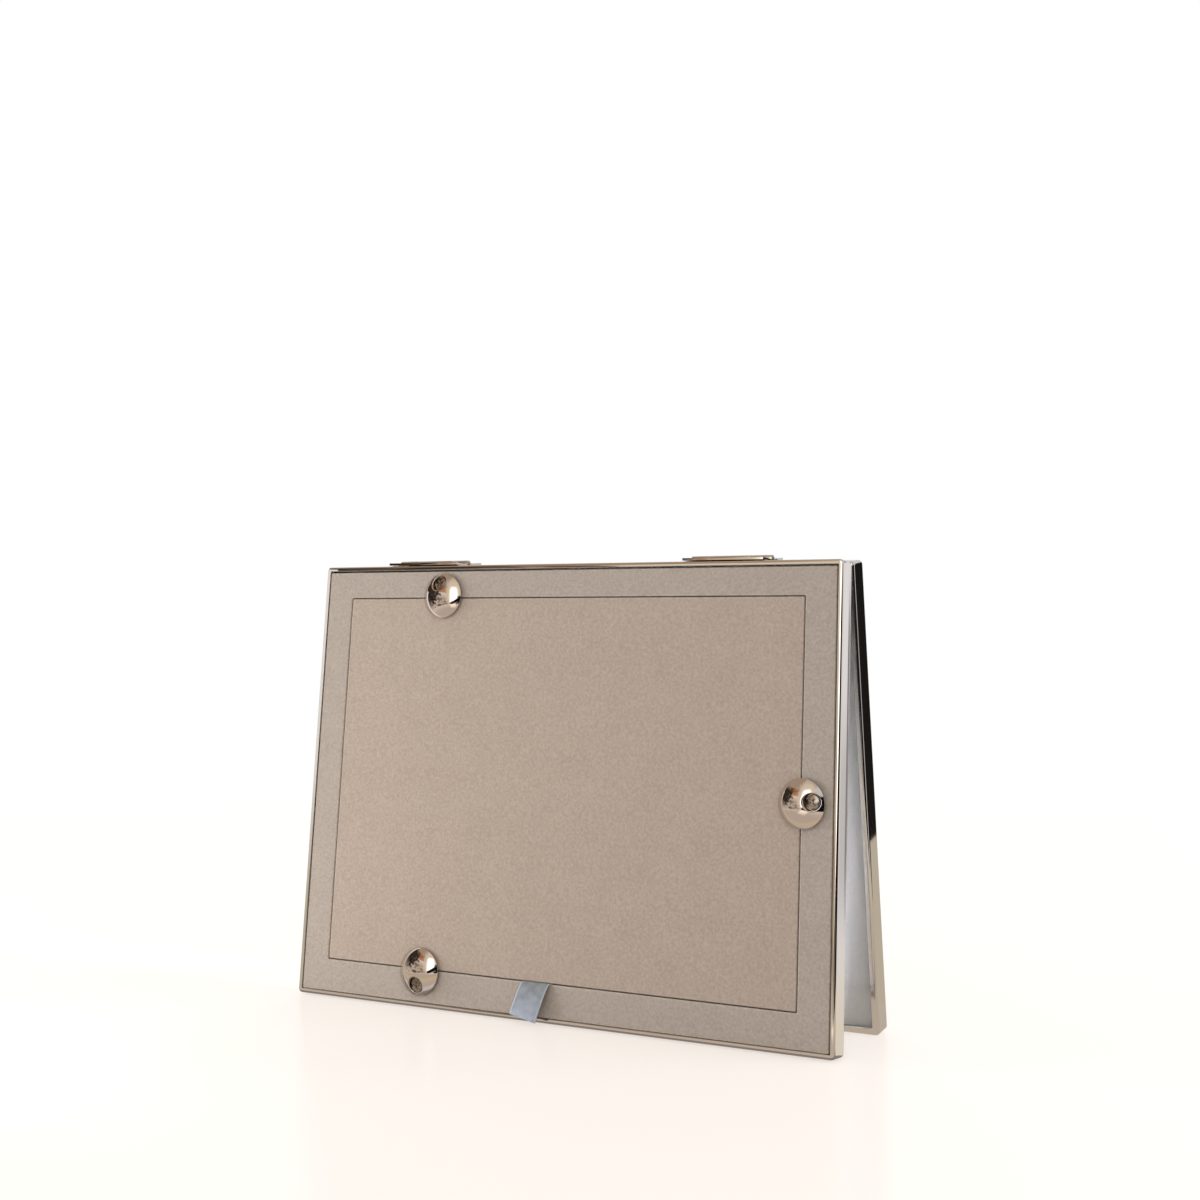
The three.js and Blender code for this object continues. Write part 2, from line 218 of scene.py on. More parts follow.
def addLoopMap(piece, loops, name):
    # A map in mm for a joined skin: how far along the longest loop and how far across the section
    # each corner of a face lies, counted on past the seam.
    loops = np.asarray(loops)
    rows, columns = loops.shape[:2]
    stepsAlong = np.linalg.norm(np.roll(loops, -1, axis=1) - loops, axis=-1).max(0)
    stepsAcross = np.linalg.norm(np.roll(loops, -1, axis=0) - loops, axis=-1).min(1)
    along = np.concatenate([[0], np.cumsum(stepsAlong)])
    across = np.concatenate([[0], np.cumsum(stepsAcross)])
    row, column = np.meshgrid(np.arange(rows), np.arange(columns), indexing="ij")
    corners = [
        np.stack([along[column + c], across[row + r]], -1) for r, c in ((0, 0), (0, 1), (1, 1), (1, 0))
    ]
    layer = piece.data.uv_layers.new(name=name)
    layer.data.foreach_set("uv", np.stack(corners, 2).astype(np.float32).ravel())


def standsFor(piece, body, node):
    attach(piece, body)
    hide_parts(node)
    return piece


# Materials

def linear(hexColour):
    # sRGB hex to the linear colour that shaders take.
    srgb = np.array([int(hexColour[i:i + 2], 16) for i in (1, 3, 5)]) / 255
    value = np.where(srgb <= 0.04045, srgb / 12.92, ((srgb + 0.055) / 1.055) ** 2.4)
    return (*value.tolist(), 1.0)


def addNode(tree, kind, settings=None, links=None):
    # One shader node with its settings, by property or socket name, and its incoming links, each
    # from an output or from the first output in use of a node. The stops of a colour ramp are
    # (position, hex colour).
    node = tree.nodes.new("ShaderNode" + kind)
    for key, value in (settings or {}).items():
        if key == "stops":
            elements = node.color_ramp.elements
            while len(elements) < len(value):
                elements.new(1)
            for element, (position, colour) in zip(elements, value):
                element.position, element.color = position, linear(colour)
        elif isinstance(key, str) and hasattr(node, key):
            setattr(node, key, value)
        else:
            node.inputs[key].default_value = value
    for key, source in (links or {}).items():
        if isinstance(source, bpy.types.Node):
            source = next(output for output in source.outputs if output.enabled)
        tree.links.new(source, node.inputs[key])
    return node


def newMaterial(name):
    material = bpy.data.materials.new(name)
    material.use_nodes = True
    material.node_tree.nodes.clear()
    return material, material.node_tree


def finishMaterial(tree, settings, links):
    shader = addNode(tree, "BsdfPrincipled", settings, links)
    addNode(tree, "OutputMaterial", links={"Surface": shader})


def grain(tree, sizeMm, detail=3, roughness=0.5, stretch=(1, 1, 1), low=0.0, high=1.0):
    # Cloudy noise on the object's own coordinates, its blobs about sizeMm across and stretched
    # along the axes, spread so that most of it lies between low and high.
    spot = addNode(tree, "TexCoord")
    scaled = addNode(tree, "Mapping", {
        "Scale": tuple(1000 / sizeMm / s for s in stretch),
    }, {"Vector": spot.outputs["Object"]})
    noise = addNode(tree, "TexNoise", {
        "Scale": 1, "Detail": detail, "Roughness": roughness,
    }, {"Vector": scaled})
    spread = addNode(tree, "MapRange", {
        "From Min": 0.3, "From Max": 0.7, "To Min": low, "To Max": high,
    }, {"Value": noise})
    return spread


# Suede paper: cotton fibre flocked on paper and wrapped over board. It is matt and soft, with a
# fine even nap and faint clouds where the nap lies another way, and the wrapped edges are painted
# a little paler.
suedeLook = {
    "door": ("#aa998b", "#b2a193", "#baa99b"),
    "border": ("#a7998e", "#aea196", "#b6a99e"),
    "paleEdge": "#c9bdb2",
    "napMm": 0.9,  # drawn coarser than the real fibres, to show
    "cloudMm": 14,
    "bumpMm": 0.04,
    "napShare": 0.8,  # of the tone, the rest is cloud
    "paleEdgeShare": 0.8,
}


def suedePaper(name, colours):
    material, tree = newMaterial(name)
    nap = grain(tree, suedeLook["napMm"], detail=2, roughness=0.6)
    cloud = grain(tree, suedeLook["cloudMm"], detail=5, roughness=0.6)
    tone = addNode(tree, "Mix", {"Factor": suedeLook["napShare"]}, {"A": cloud, "B": nap})
    colour = addNode(tree, "ValToRGB", {
        "stops": [(0.1, colours[0]), (0.5, colours[1]), (0.9, colours[2])],
    }, {"Fac": tone})
    # The wrapped edges are painted paler, more where the nap is high.
    edge = addNode(tree, "Attribute", {"attribute_name": "wrap"})
    paleMask = addNode(tree, "Math", {"operation": "MULTIPLY"}, {0: edge.outputs["Fac"], 1: nap})
    paleMask = addNode(tree, "Math", {"operation": "MULTIPLY", 1: suedeLook["paleEdgeShare"]}, {0: paleMask})
    paleEdge = addNode(tree, "Mix", {
        "data_type": "RGBA", "B": linear(suedeLook["paleEdge"]),
    }, {"Factor": paleMask, "A": colour})
    bump = addNode(tree, "Bump", {
        "Strength": 0.5, "Distance": suedeLook["bumpMm"] * mm,
    }, {"Height": nap})
    finishMaterial(tree, {
        "Roughness": 0.95, "Specular IOR Level": 0.2,
        "Sheen Weight": 0.2, "Sheen Roughness": 0.6, "Sheen Tint": linear(colours[2]),
    }, {"Base Color": paleEdge, "Normal": bump})
    return material


# Nickel plate over brass, polished on a wheel: a warm mirror with slow ripples and patches of very
# fine haze. The frame's channel is drawn through a die first, which leaves faint lines along it.
nickelLook = {
    "frame": "#dcd6ce",
    "button": "#d9cfc8",
    "hinge": "#d2cbc3",
    "roughness": (0.03, 0.1),
    "hazeMm": 12,
    "rippleMm": 25,
    "lineMm": 0.5,  # drawn coarser than the real lines, to show
    "lineLengthMm": 90,
    "lineHeightMm": 0.0004,
}


def polishedNickel(name, colour, rippleHeightMm, drawn=False):
    material, tree = newMaterial(name)
    haze = grain(
        tree, nickelLook["hazeMm"], detail=5, roughness=0.65,
        low=nickelLook["roughness"][0], high=nickelLook["roughness"][1],
    )
    ripple = grain(tree, nickelLook["rippleMm"], detail=1)
    bump = addNode(tree, "Bump", {
        "Strength": 1, "Distance": rippleHeightMm * mm,
    }, {"Height": ripple})
    if drawn:
        uv = addNode(tree, "UVMap", {"uv_map": "drawnMm"})
        stretched = addNode(tree, "Mapping", {
            "Scale": (1 / nickelLook["lineLengthMm"], 1 / nickelLook["lineMm"], 1),
        }, {"Vector": uv})
        lines = addNode(tree, "TexNoise", {"Scale": 1, "Detail": 2}, {
            "Vector": stretched,
        })
        bump = addNode(tree, "Bump", {
            "Strength": 1, "Distance": nickelLook["lineHeightMm"] * mm,
        }, {"Height": lines, "Normal": bump})
    finishMaterial(tree, {"Base Color": linear(colour), "Metallic": 1}, {
        "Roughness": haze, "Normal": bump,
    })
    return material


def platedSteel():
    # Screws and pins tumbled and zinc plated by the boxful: greyer and less even than the nickel.
    material, tree = newMaterial("platedSteel")
    tumble = grain(tree, 0.7)
    colour = addNode(tree, "ValToRGB", {
        "stops": [(0, "#7f766e"), (1, "#aba197")],
    }, {"Fac": tumble})
    rough = grain(tree, 0.5, low=0.2, high=0.36)
    finishMaterial(tree, {"Metallic": 1}, {"Base Color": colour, "Roughness": rough})
    return material


def floatGlass():
    # Plain 2 mm picture glass, floated flat on tin: clear, with a trace of haze. Lamps shine through
    # it onto what it covers.
    material, tree = newMaterial("floatGlass")
    haze = grain(tree, 30, low=0.0, high=0.03)
    pane = addNode(tree, "BsdfPrincipled", {
        "Base Color": linear("#fdfefe"), "IOR": 1.5, "Transmission Weight": 1,
    }, {"Roughness": haze})
    clear = addNode(tree, "BsdfTransparent", {"Color": linear("#f6f8f7")})
    path = addNode(tree, "LightPath")
    both = addNode(tree, "MixShader", links={
        "Fac": path.outputs["Is Shadow Ray"], 1: pane, 2: clear,
    })
    addNode(tree, "OutputMaterial", links={"Surface": both})
    return material


def pressedBoard(name, low, high, fibreMm):
    # Paper pulp pressed in sheets: matt, with the faint cloud of its fibres.
    material, tree = newMaterial(name)
    fibre = grain(tree, fibreMm, detail=4, roughness=0.6)
    colour = addNode(tree, "ValToRGB", {"stops": [(0, low), (1, high)]}, {"Fac": fibre})
    bump = addNode(tree, "Bump", {"Strength": 0.4, "Distance": 0.02 * mm}, {"Height": fibre})
    finishMaterial(tree, {"Roughness": 0.85, "Specular IOR Level": 0.3}, {
        "Base Color": colour, "Normal": bump,
    })
    return material


ribbonLook = {
    # Painted shade where the ribbon leaves the gap, and painted sheen towards its free end.
    "atGap": ("#7c8083", "#909598"),
    "atEnd": ("#9aa1b0", "#b4bbca"),  # painted sheen, paler and bluer towards the free end
    "sheenFadeMm": (4, 15),
    "selvedge": "#b9bfca",
    "ribMm": 0.3,  # drawn coarser than the real floats, to show
    "selvedgeMm": 0.4,
    "ribHeightMm": 0.04,
}


def satinRibbon(widthMm):
    # Woven polyester satin: its long floats shine, fine ribs run across it, and the selvedge is a
    # tighter, paler cord along each side. The pattern follows the ribbon's own map, in mm.
    material, tree = newMaterial("satinRibbon")
    uv = addNode(tree, "UVMap", {"uv_map": "ribbonMm"})
    parts = addNode(tree, "SeparateXYZ", links={"Vector": uv})
    phase = addNode(tree, "Math", {
        "operation": "MULTIPLY", 1: 2 * math.pi / ribbonLook["ribMm"],
    }, {0: parts.outputs["Y"]})
    rib = addNode(tree, "Math", {"operation": "SINE"}, {0: phase})
    fromMiddle = addNode(tree, "Math", {"operation": "ABSOLUTE"}, {0: parts.outputs["X"]})
    edge = widthMm / 2 - ribbonLook["selvedgeMm"]
    selvedge = addNode(tree, "MapRange", {
        "From Min": edge - 0.1, "From Max": edge + 0.1,
    }, {"Value": fromMiddle})
    cloud = grain(tree, 2.5)
    # The colour runs from painted shade at the gap to painted sheen at the free end.
    ends = [
        addNode(tree, "ValToRGB", {"stops": [(0, low), (1, high)]}, {"Fac": cloud})
        for low, high in (ribbonLook["atGap"], ribbonLook["atEnd"])
    ]
    towardsSheen = addNode(tree, "MapRange", {
        "From Min": ribbonLook["sheenFadeMm"][0], "From Max": ribbonLook["sheenFadeMm"][1],
    }, {"Value": parts.outputs["Y"]})
    colour = addNode(tree, "Mix", {"data_type": "RGBA"}, {
        "Factor": towardsSheen, "A": ends[0], "B": ends[1],
    })
    paler = addNode(tree, "Mix", {
        "data_type": "RGBA", "B": linear(ribbonLook["selvedge"]),
    }, {"Factor": selvedge, "A": colour})
    height = addNode(tree, "Math", {"operation": "MULTIPLY_ADD", 1: 0.4}, {
        0: rib, 2: selvedge,
    })
    bump = addNode(tree, "Bump", {
        "Strength": 0.5, "Distance": ribbonLook["ribHeightMm"] * mm,
    }, {"Height": height})
    finishMaterial(tree, {
        "Roughness": 0.4, "Specular IOR Level": 0.6,
        "Sheen Weight": 0.3, "Sheen Roughness": 0.4, "Sheen Tint": linear("#dfe4ec"),
    }, {"Base Color": paler, "Normal": bump})
    return material


frameNickel = polishedNickel("nickelFrame", nickelLook["frame"], rippleHeightMm=0.006, drawn=True)
buttonNickel = polishedNickel("nickelButton", nickelLook["button"], rippleHeightMm=0.004)
hingeNickel = polishedNickel("nickelHinge", nickelLook["hinge"], rippleHeightMm=0.004)
doorSuede = suedePaper("suedePaperDoor", suedeLook["door"])
borderSuede = suedePaper("suedePaperBorder", suedeLook["border"])
screwSteel = platedSteel()
glassClear = floatGlass()
matPaper = pressedBoard("matBoard", "#ebe7e6", "#f2f0ef", fibreMm=0.8)
matCore = pressedBoard("matBoardCore", "#efece4", "#f6f3ed", fibreMm=0.5)
cardPaper = pressedBoard("photoCard", "#e7e4de", "#ecebe6", fibreMm=0.6)
print("materials made")


# Metal frame: an L-shaped channel drawn from sheet, soft at its outer edges and sharper inside. Its
# back rim falls a little towards the board, so that it mirrors in bands.

metalFrame = {
    "sides": (208.4, 155),
    "depth": 8.3,
    "wall": 1.6,
    "cornerRadius": 1.5,
    "backEdge": 0.9,
    "rimFall": 0.02,
    "frontEdge": 1.1,
    "innerEdge": 0.12,
    "lipThickness": 1,
    "lipReach": 0.7,
    "lipEdges": (0.1, 0.15, 0.25),  # where it meets the wall, inside and outside
}


def frameRing(leaf, look):
    # The rim's fall grows with the square of the way in from the crest of the rounded back edge.
    lip = look["wall"] + look["lipReach"]
    atWall, inside, outside = look["lipEdges"]
    section = roundedSection([
        (0, 0, look["frontEdge"]), (0, look["depth"], look["backEdge"]),
        (look["wall"], look["depth"], look["innerEdge"]),
        (look["wall"], look["lipThickness"], atWall), (lip, look["lipThickness"], inside),
        (lip, 0, outside),
    ])
    onBack = np.flatnonzero(np.isclose(section[:, 1], look["depth"]))
    between = np.linspace(section[onBack[1]], section[onBack[2]], 6)[1:-1]
    section = np.insert(section, onBack[2], between, axis=0)
    inward = (section[:, 0] - look["backEdge"]) / (look["wall"] - look["backEdge"])
    onRim = smoothstep(look["depth"] - 0.4, look["depth"] - 0.1, section[:, 1])
    section[:, 1] = section[:, 1] - look["rimFall"] * inward.clip(0, 1) ** 2 * onRim
    loops = [
        roundedLoop(look["sides"], -inset, max(look["cornerRadius"] - inset, 0.3), depth, arcSteps=10)
        for inset, depth in section
    ]
    ring = skin(f"{leaf}FrameRing", leaf, loops, [frameNickel], join=True)
    addLoopMap(ring, loops, "drawnMm")
    return ring


for leaf in leaves:
    standsFor(frameRing(leaf, metalFrame), f"{leaf}_leaf", f"{leaf}_frame")
print("metal frames made")


# Covered boards: a border ring that stays in the frame and a door slab in its opening

boards = {
    "opening": (182.2, 129.8),  # door's length and height, covered
    "shift": (-0.3, 0.5),  # door off the leaf's middle
    "doorGap": 0.4,
    "borderGap": 0.36,  # the cover fills the rest of the bare board's gap
    "lie": (-0.18, -0.3),  # border's outer edge, to one side and down in the frame
    "back": 8.0,
    "borderFront": 5.1,
    "doorFront": 5.8,
    "cornerRadius": 0.6,
    "edge": 0.45,
}


def borderBoard(leaf, look):
    outer = metalFrame["wall"] + look["borderGap"]
    middle = 4.0  # across the board, only to tell the outer half of the section from the inner
    section = roundedSection([
        (0, look["borderFront"], 0.2), (0, look["back"], look["edge"]),
        (2 * middle, look["back"], look["edge"]), (2 * middle, look["borderFront"], 0.2),
    ], support=0.15)
    loops = []
    for across, depth in section:
        if across < middle:
            radius = max(look["cornerRadius"] - across, 0.3)
            loop = roundedLoop(metalFrame["sides"], -outer - across, radius, depth, look["lie"])
        else:
            grow, radius = look["doorGap"] + 2 * middle - across, look["cornerRadius"] + 2 * middle - across
            loop = roundedLoop(look["opening"], grow, radius, depth, look["shift"])
        loops.append(loop)
    wrap = smoothstep(0.7, 0.1, np.minimum(section[:, 0], 2 * middle - section[:, 0]))
    wrap = wrap * smoothstep(look["back"] - 1, look["back"] - 0.4, section[:, 1])
    return skin(f"{leaf}BorderBoard", leaf, loops, [borderSuede], join=True, wrap=wrap)


def doorBoard(leaf, look):
    section = roundedSection([
        (-9, look["doorFront"], 0.2), (0, look["doorFront"], 0.2),
        (0, look["back"], look["edge"]), (-9, look["back"], 0.2),
    ], support=0.15)
    section = section[section[:, 0] > -1]
    loops = [
        roundedLoop(look["opening"], across, look["cornerRadius"], depth, look["shift"])
        for across, depth in section
    ]
    wrap = smoothstep(-0.7, -0.1, section[:, 0])
    wrap = wrap * smoothstep(look["back"] - 1, look["back"] - 0.4, section[:, 1])
    return skin(f"{leaf}DoorBoard", leaf, loops, [doorSuede], wrap=wrap)


for leaf in leaves:
    body = f"{leaf}_leaf"
    standsFor(borderBoard(leaf, boards), body, f"{leaf}_border_board")
    standsFor(doorBoard(leaf, boards), body, f"{leaf}_door_panel")
print("covered boards made")


# Mat with a window cut at a slant, so that its white core shows round the card

windowMat = {
    "sides": (204.8, 151.4),
    "front": 3.6,
    "thickness": 1.2,
    "window": (172, 121),
    "bevel": 0.6,
    "edge": 0.03,
    "cornerRadius": 0.8,
    "windowRadius": 0.3,
}


def matRing(leaf, look):
    # The loops by how far each is grown and by its depth: along the mat's own edge, then the window's.
    edge, front, back = look["edge"], look["front"], look["front"] + look["thickness"]
    outer = [(-edge, front), (0, front + edge), (0, back - edge), (-edge, back)]
    inner = [
        (0.4, back), (0, back - edge), (look["bevel"] - edge / 2, front + edge),
        (look["bevel"] + edge, front),
    ]
    loops = [roundedLoop(look["sides"], grow, look["cornerRadius"], depth) for grow, depth in outer]
    loops += [
        roundedLoop(look["window"], grow, look["windowRadius"], depth, boards["shift"])
        for grow, depth in inner
    ]
    slots = [0, 1, 0, 0, 0, 1, 0, 0]
    return skin(f"{leaf}WindowMat", leaf, loops, [matPaper, matCore], join=True, slots=slots)


for leaf in leaves:
    ring = matRing(leaf, windowMat)
    ring.data.shade_flat()
    standsFor(ring, f"{leaf}_leaf", f"{leaf}_mat")
    for node, material in ((f"{leaf}_glass", glassClear), (f"{leaf}_photo_card", cardPaper)):
        sheet = frame["nodes"][node]
        for slotOfNode in sheet.material_slots:
            slotOfNode.material = material
print("mats, glass and cards made")


# Turn buttons: low domes off the centre of their screws, each with a round recess for the screw's
# head and a foot that stands on the metal rim

turnButton = {
    "radius": 8,
    "rim": 0.6,  # dome's height over its underside at the rim
    "domeRise": 3.5,
    "screwOffset": 4.3,
    "recessRadius": 2.75,
    "recessFloor": 0.9,
    "recessEdge": 0.35,
    "outerEdge": 0.3,
    "footRadius": 3,
    "footHeight": 0.3,
    "bore": 1.3,
    "toDoor": {"top": -85, "side": 189, "bottom": 95},  # degrees from the leaf's X
}


def buttonLoops(look):
    # Loops about the screw's axis, from the top of the bore down, out under the dome, up its side
    # and back over the dome into the recess. Inner loops are circles about the screw, outer ones
    # circles about the dome, and those between blend evenly.
    ring = circle(144)
    ball = (look["radius"] ** 2 + look["domeRise"] ** 2) / (2 * look["domeRise"])
    drop = ball - look["rim"] - look["domeRise"]
    offset = np.array([look["screwOffset"], 0])

    def domeHeight(points):
        return np.sqrt(ball ** 2 - ((points - offset) ** 2).sum(-1)) - drop

    floor, foot, edge = look["recessFloor"], -look["footHeight"], 0.08
    under = [
        (look["bore"], floor - edge), (look["bore"], foot + edge), (look["bore"] + edge, foot),
        (look["footRadius"] - edge, foot), (look["footRadius"], foot + edge),
        (look["footRadius"], -0.02), (look["footRadius"] + 0.05, 0),
    ]
    loops = [atDepth(ring * radius, height) for radius, height in under]
    # The rounded edge touches both the side and the dome.
    soft = look["outerEdge"]
    centreRadius = look["radius"] - soft
    centreHeight = math.sqrt((ball - soft) ** 2 - centreRadius ** 2) - drop
    touch = math.atan2(centreRadius, centreHeight + drop)
    side = [(look["radius"] - r, h) for r, h in ((0.25, 0), (0.15, 0), (0.03, 0.05), (0, 0.15))]
    side += [
        (centreRadius + soft * math.sin(a), centreHeight + soft * math.cos(a))
        for a in np.linspace(math.pi / 2, touch, 8)
    ]
    loops += [atDepth(ring * radius + offset, height) for radius, height in side]
    # The dome, then the round at the recess, which falls from the dome's height.
    rimRadius = look["recessRadius"] + look["recessEdge"]
    outer = ring * (ball * math.sin(touch)) + offset
    for share in np.linspace(0, 1, 30)[1:]:
        points = outer * (1 - share) + ring * rimRadius * share
        loops.append(atDepth(points, domeHeight(points)))
    for a in np.linspace(0, math.pi / 2, 8)[1:]:
        points = ring * (rimRadius - look["recessEdge"] * math.sin(a))
        loops.append(atDepth(points, domeHeight(points) - look["recessEdge"] * (1 - math.cos(a))))
    loops.append(atDepth(ring * look["recessRadius"], floor + 0.3))
    for a in np.linspace(0, math.pi / 2, 5):
        radius = look["recessRadius"] - 0.15 * (1 - math.cos(a))
        loops.append(atDepth(ring * radius, floor + 0.15 * (1 - math.sin(a))))
    loops.append(atDepth(ring * (look["bore"] + edge), floor))
    return np.array(loops)


def turned(points, degrees):
    # Turned about the leaf's out direction.
    a = math.radians(degrees)
    return points @ np.array([[math.cos(a), math.sin(a), 0], [-math.sin(a), math.cos(a), 0], [0, 0, 1]])


for leaf in leaves:
    for station, degrees in turnButton["toDoor"].items():
        body = f"{leaf}_{station}_button"
        seat = toLeaf(leaf, joints[f"{body}_turn"]["pos_m"])
        seat[2] = metalFrame["depth"] + turnButton["footHeight"]
        loops = turned(buttonLoops(turnButton), degrees) + seat
        button = skin(f"{leaf}{station.title()}TurnButton", leaf, loops, [buttonNickel], join=True)
        standsFor(button, body, body)
print("turn buttons made")


# Cross-head screws, sunk in the buttons' recesses

screw = {
    "headRadius": 2.4,
    "headEdge": 0.5,
    "headRise": 0.5,
    "seat": 1.5,  # head's underside past the metal rim
    "shankRadius": 1,
    "reach": 3.7,  # shank below the head
    "crossLength": 2.6,
    "crossWidth": 0.6,
    "crossDepth": 0.6,
    "crossTurn": {"top": 20, "side": 52, "bottom": 8, "back": 31},
}


def screwLoops(look, crossTurn):
    # Rings from the tip up the shank, out under the head and over its low dome to the middle. The
    # cross is a depth that falls steeply inside either arm.
    ring = circle(120)
    ball = (look["headRadius"] ** 2 + look["headRise"] ** 2) / (2 * look["headRise"])
    loops = []
    taper = [(0.02, -look["reach"]), (0.5, -look["reach"]), (1, 0.5 - look["reach"])]
    for radius, height in taper + [(1, -0.02), (1.05, 0)]:
        loops.append(atDepth(ring * radius * look["shankRadius"], height))
    for radius, height in ((-0.08, 0), (0, 0.06), (0, look["headEdge"] - 0.1)):
        loops.append(atDepth(ring * (look["headRadius"] + radius), height))
    turnedRing = turned(atDepth(ring, 0), -crossTurn)[:, :2]
    for radius in np.concatenate([np.linspace(look["headRadius"] - 0.06, 0.06, 36), [0.02]]):
        points = np.abs(turnedRing * radius)
        long, short = points.max(-1), points.min(-1)
        half = look["crossWidth"] / 2
        arm = smoothstep(half + 0.06, half - 0.08, short)
        arm = arm * smoothstep(look["crossLength"] / 2 + 0.12, look["crossLength"] / 2 - 0.12, long)
        dome = look["headEdge"] + look["headRise"] - ball + math.sqrt(ball ** 2 - radius ** 2)
        depth = arm * look["crossDepth"] * (1 - 0.35 * long / look["crossLength"] * 2)
        loops.append(atDepth(ring * radius, dome - depth))
    return np.array(loops)


for leaf in leaves:
    for station in turnButton["toDoor"]:
        body = f"{leaf}_{station}_button"
        seat = toLeaf(leaf, joints[f"{body}_turn"]["pos_m"])
        seat[2] = metalFrame["depth"] + screw["seat"]
        turn = screw["crossTurn"][station] + (screw["crossTurn"]["back"] if leaf == "back" else 0)
        head = skin(
            f"{leaf}{station.title()}CrossScrew", leaf, screwLoops(screw, turn) + seat, [screwSteel],
        )
        standsFor(head, f"{leaf}_leaf", f"{leaf}_{station}_screw")
print("screws made")


# Hinges: the CAD plates with their edges broken, and turned pins with rounded ends

hinge = {
    "edgeBreak": 0.08,
    "pinRadius": 0.6,
    "pinLength": 30.6,
    "pinEnd": 0.25,
    "middle": {"left": -60.8, "right": 60.8},  # from the leaf's middle
}


def brokenEdges(node, name, widthMm, material):
    # The node's triangles merged back into flat faces, with every edge sharper than 30 degrees cut.
    mesh = bmesh.new()
    mesh.from_mesh(frame["nodes"][node].data)
    bmesh.ops.remove_doubles(mesh, verts=mesh.verts, dist=1e-6)
    bmesh.ops.dissolve_limit(mesh, angle_limit=math.radians(1), verts=mesh.verts, edges=mesh.edges)
    least = math.radians(30)
    sharp = [edge for edge in mesh.edges if edge.is_manifold and edge.calc_face_angle() > least]
    bmesh.ops.bevel(
        mesh, geom=sharp, offset=widthMm * mm, segments=2, profile=0.5, affect="EDGES",
        clamp_overlap=True,
    )
    data = bpy.data.meshes.new(name)
    mesh.to_mesh(data)
    mesh.free()
    data.materials.clear()
    data.materials.append(material)
    data.shade_smooth()
    data.set_sharp_from_angle(angle=math.radians(35))
    return addObject(name, data)


def pinLoops(look):
    # Circles along X, drawn in to a rounded end on both sides.
    ring, a = circle(32), np.linspace(0, math.pi / 2, 6)
    half, end, radius = look["pinLength"] / 2, look["pinEnd"], look["pinRadius"]
    along = np.concatenate([half - end + end * np.cos(a), [half - end - 0.1]])
    across = np.concatenate([radius - end + end * np.sin(a), [radius]])
    along = np.concatenate([along, -along[::-1]])
    across = np.concatenate([across, across[::-1]])
    return np.stack([
        np.broadcast_to(along[:, None], (len(along), len(ring))),
        -across[:, None] * ring[:, 0], across[:, None] * ring[:, 1],
    ], -1)


for side, middle in hinge["middle"].items():
    for leaf in leaves:
        node, name = f"{side}_hinge_{leaf}_plate", f"{side}Hinge{leaf.title()}Plate"
        plate = brokenEdges(node, name, hinge["edgeBreak"], hingeNickel)
        standsFor(plate, f"{leaf}_leaf", node)
    loops = pinLoops(hinge) + [middle, 0, 0] - photoFace
    pin = skin(f"{side}HingePin", "front", loops, [screwSteel])
    standsFor(pin, "front_leaf", f"{side}_hinge_pin")
print("hinges made")


# Ribbon tabs: a short strip out of the gap under the door, creased over its edge and hanging askew

ribbon = {
    "width": 10.6,
    "thickness": 0.25,
    "across": -3.4,  # ribbon's middle at the gap from the leaf's middle
    "tuck": 2,
    "inGap": 0.65,  # its middle below the door's foot, as a share of the gap
    "bendRadius": 1.6,
    "bend": 68,
    "fall": 11.1,
    "curl": 14,
    "cup": 0.2,
    "askew": 11.5,  # degrees that the strip is turned to one side, seen flat
}


def ribbonStrip(leaf, look):
    # The strip is a rectangle turned askew on a sheet that bends only away from the board. The
    # sheet's slope stays level in the gap, grows evenly round the bend and then slowly over the
    # fall, and its out and down are summed along it in fine steps.
    bendLength = look["bendRadius"] * math.radians(look["bend"])
    length = look["tuck"] + bendLength + look["fall"]
    reach = np.linspace(-2, length + 3, 1200)
    past = reach - look["tuck"]
    slope = np.radians(look["bend"]) * np.clip(past / bendLength, 0, 1)
    slope = slope + np.radians(look["curl"]) * np.clip((past - bendLength) / look["fall"], 0, 1.2)
    step = reach[1] - reach[0]
    out, down = np.cumsum(step * np.cos(slope)), np.cumsum(step * np.sin(slope))
    out = out - np.interp(look["tuck"], reach, out)
    rows, columns = 82, 27
    along, across = np.meshgrid(
        np.linspace(0, length, rows), np.linspace(-0.5, 0.5, columns) * look["width"], indexing="ij",
    )
    askew = math.radians(look["askew"])
    sheet = look["tuck"] + (along - look["tuck"]) * math.cos(askew) + across * math.sin(askew)
    x = look["across"] + across * math.cos(askew) - (along - look["tuck"]) * math.sin(askew)
    # A soft cup across the width, nothing at the gap and slight at the free end.
    cup = look["cup"] * smoothstep(look["tuck"], length, along)
    cup = cup * (1 - (2 * across / look["width"]) ** 2)
    lean = np.interp(sheet, reach, slope)
    y = cup * np.cos(lean) - np.interp(sheet, reach, down)
    z = cup * np.sin(lean) + np.interp(sheet, reach, out)
    points = np.stack([x, y, z], -1).reshape(-1, 3)
    doorFoot = boards["shift"][1] - boards["opening"][1] / 2
    points = points + [0, doorFoot - boards["doorGap"] * look["inGap"], boards["back"]]
    piece = addMesh(
        f"{leaf}RibbonTab", place(leaf, points), gridFaces(rows, columns, False, False), [ribbonSatin],
    )
    uv = piece.data.uv_layers.new(name="ribbonMm")
    corner = np.zeros(len(piece.data.loops), np.int32)
    piece.data.loops.foreach_get("vertex_index", corner)
    flat = np.stack([across, along], -1).reshape(-1, 2)
    uv.data.foreach_set("uv", flat[corner].astype(np.float32).ravel())
    cloth = piece.modifiers.new("thickness", "SOLIDIFY")
    cloth.thickness, cloth.offset = look["thickness"] * mm, 0
    return piece, length


ribbonSatin = satinRibbon(ribbon["width"])
for leaf in leaves:
    tab, flatLength = ribbonStrip(leaf, ribbon)
    standsFor(tab, f"{leaf}_leaf", f"{leaf}_ribbon_tab")
print("ribbon tabs made")


# Stage: a pale glossy floor and a tent of painted reflectors that only the object's mirrors see

